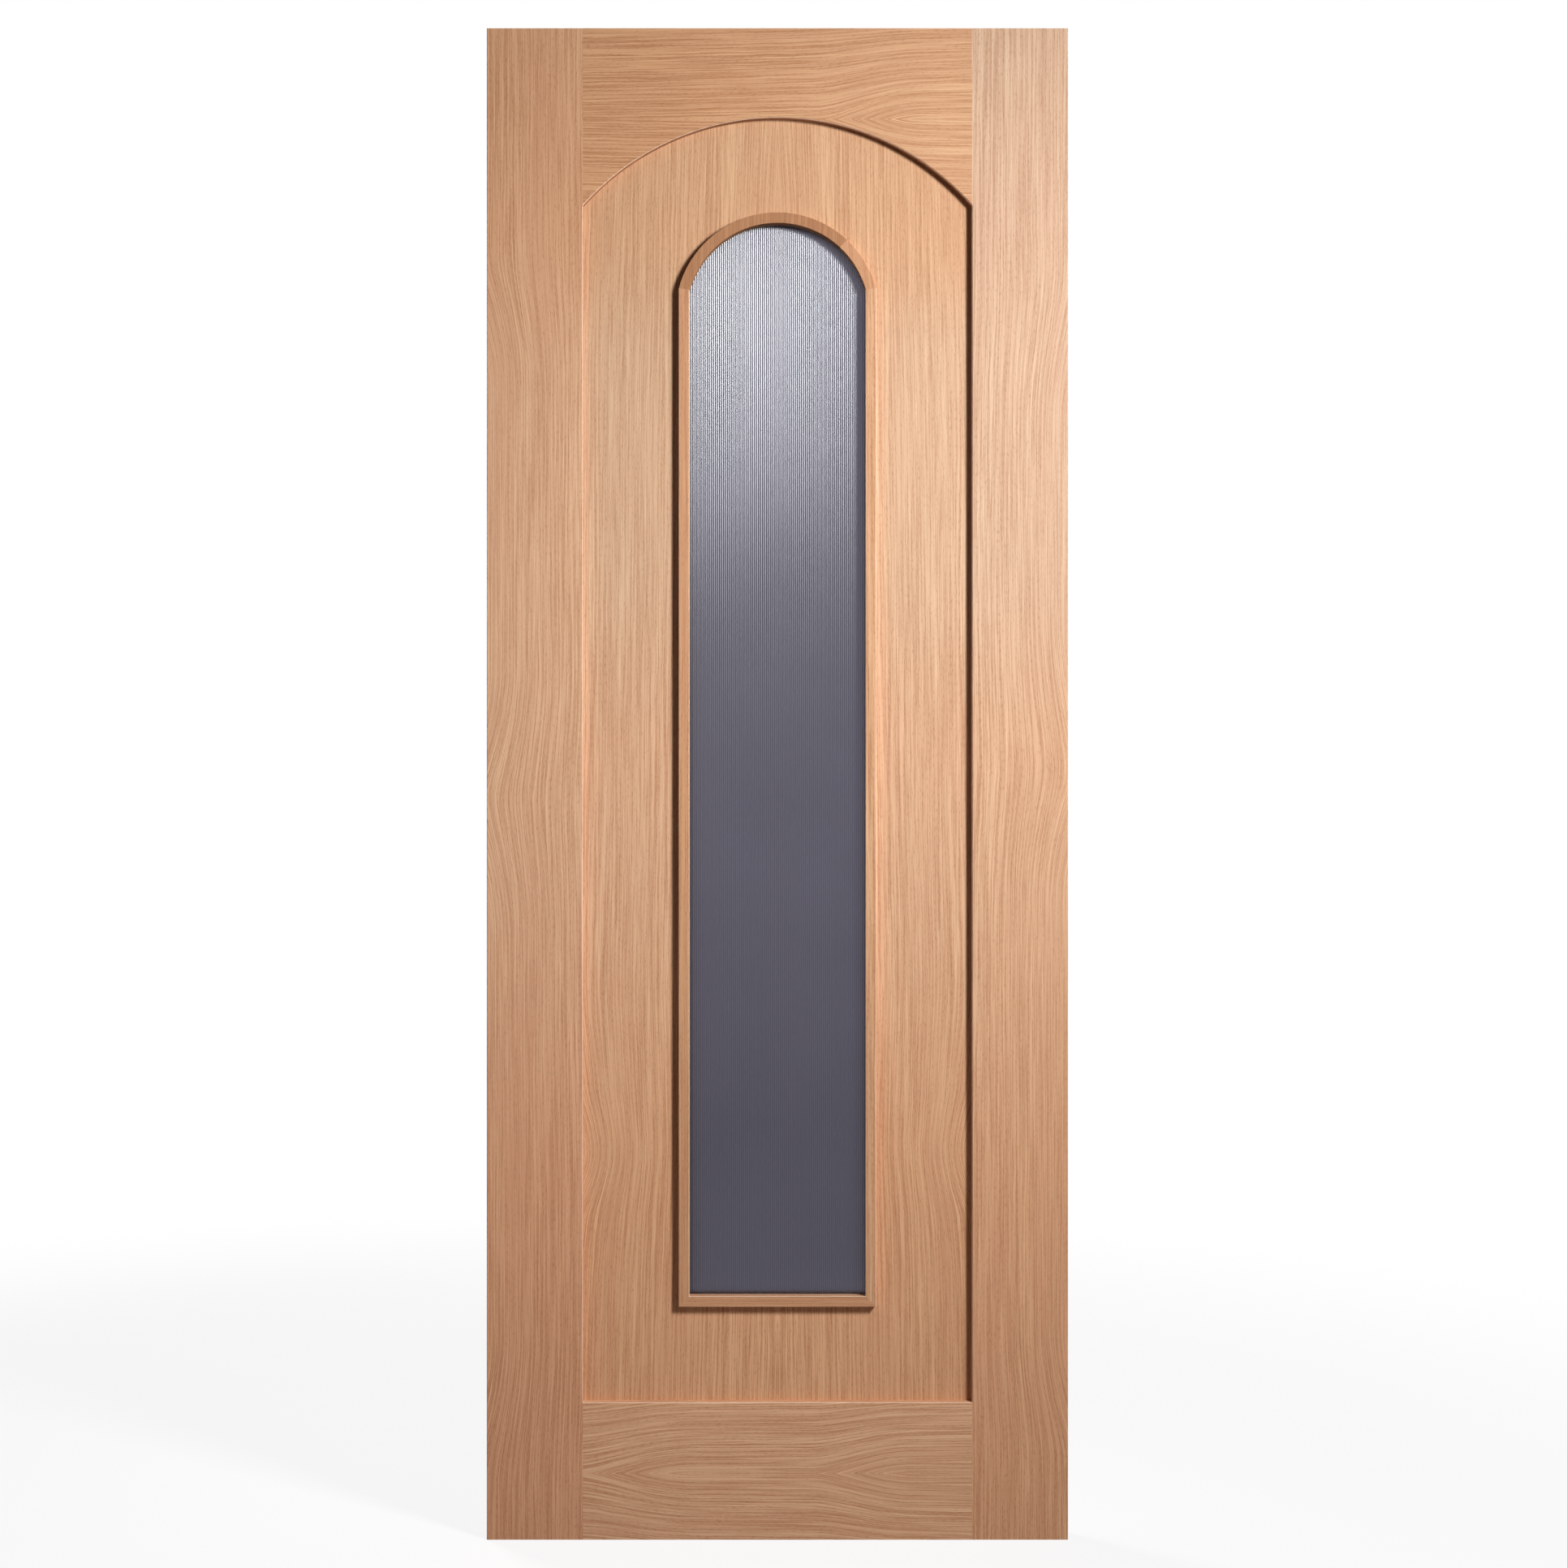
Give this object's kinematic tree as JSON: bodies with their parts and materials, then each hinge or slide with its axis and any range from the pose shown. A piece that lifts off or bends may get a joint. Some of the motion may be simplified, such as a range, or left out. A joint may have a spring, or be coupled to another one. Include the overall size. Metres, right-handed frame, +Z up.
{
  "type": "glazed interior door leaf",
  "caption": "Oak-veneered interior door leaf with an arched flat panel and one tall arch-topped pane of reeded glass held by square glazing beads on both faces.",
  "frame": {"origin": "on the hinge edge, at its foot and midway through the thickness of the leaf", "axes": "+X across the leaf to the lock edge, +Y from the pictured face to the other face, +Z up the leaf"},
  "size_m": [0.762, 0.035, 1.981],
  "materials": {
    "oak_veneer": "pale oak veneer under matt lacquer",
    "oak_lipping": "straight-grained solid oak under matt lacquer",
    "oak_bead": "solid oak under matt lacquer",
    "core_wood": "bare sawn softwood",
    "reeded_glass": "smoke-grey glass with upright reeds",
    "glazing_tape": "pale foam tape"
  },
  "bodies": {
    "root": {"back_bead_arch_crown": "oak_bead", "back_bead_arch_left": "oak_bead", "back_bead_arch_right": "oak_bead", "back_bead_bottom": "oak_bead", "back_bead_left": "oak_bead", "back_bead_right": "oak_bead", "back_glazing_tape": "glazing_tape", "bottom_rail_back_veneer": "oak_veneer", "bottom_rail_core": "core_wood", "bottom_rail_front_veneer": "oak_veneer", "bottom_rail_lipping": "oak_lipping", "front_bead_arch_crown": "oak_bead", "front_bead_arch_left": "oak_bead", "front_bead_arch_right": "oak_bead", "front_bead_bottom": "oak_bead", "front_bead_left": "oak_bead", "front_bead_right": "oak_bead", "front_glazing_tape": "glazing_tape", "glass_pane": "reeded_glass", "hinge_edge_lipping": "oak_lipping", "hinge_stile_back_veneer": "oak_veneer", "hinge_stile_core": "core_wood", "hinge_stile_front_veneer": "oak_veneer", "hinge_stile_inner_lipping": "oak_lipping", "lock_edge_lipping": "oak_lipping", "lock_stile_back_veneer": "oak_veneer", "lock_stile_core": "core_wood", "lock_stile_front_veneer": "oak_veneer", "lock_stile_inner_lipping": "oak_lipping", "panel_back_veneer": "oak_veneer", "panel_core": "core_wood", "panel_front_veneer": "oak_veneer", "top_rail_arch_lipping": "oak_lipping", "top_rail_back_veneer": "oak_veneer", "top_rail_core": "core_wood", "top_rail_front_veneer": "oak_veneer"}
  },
  "joints": []
}
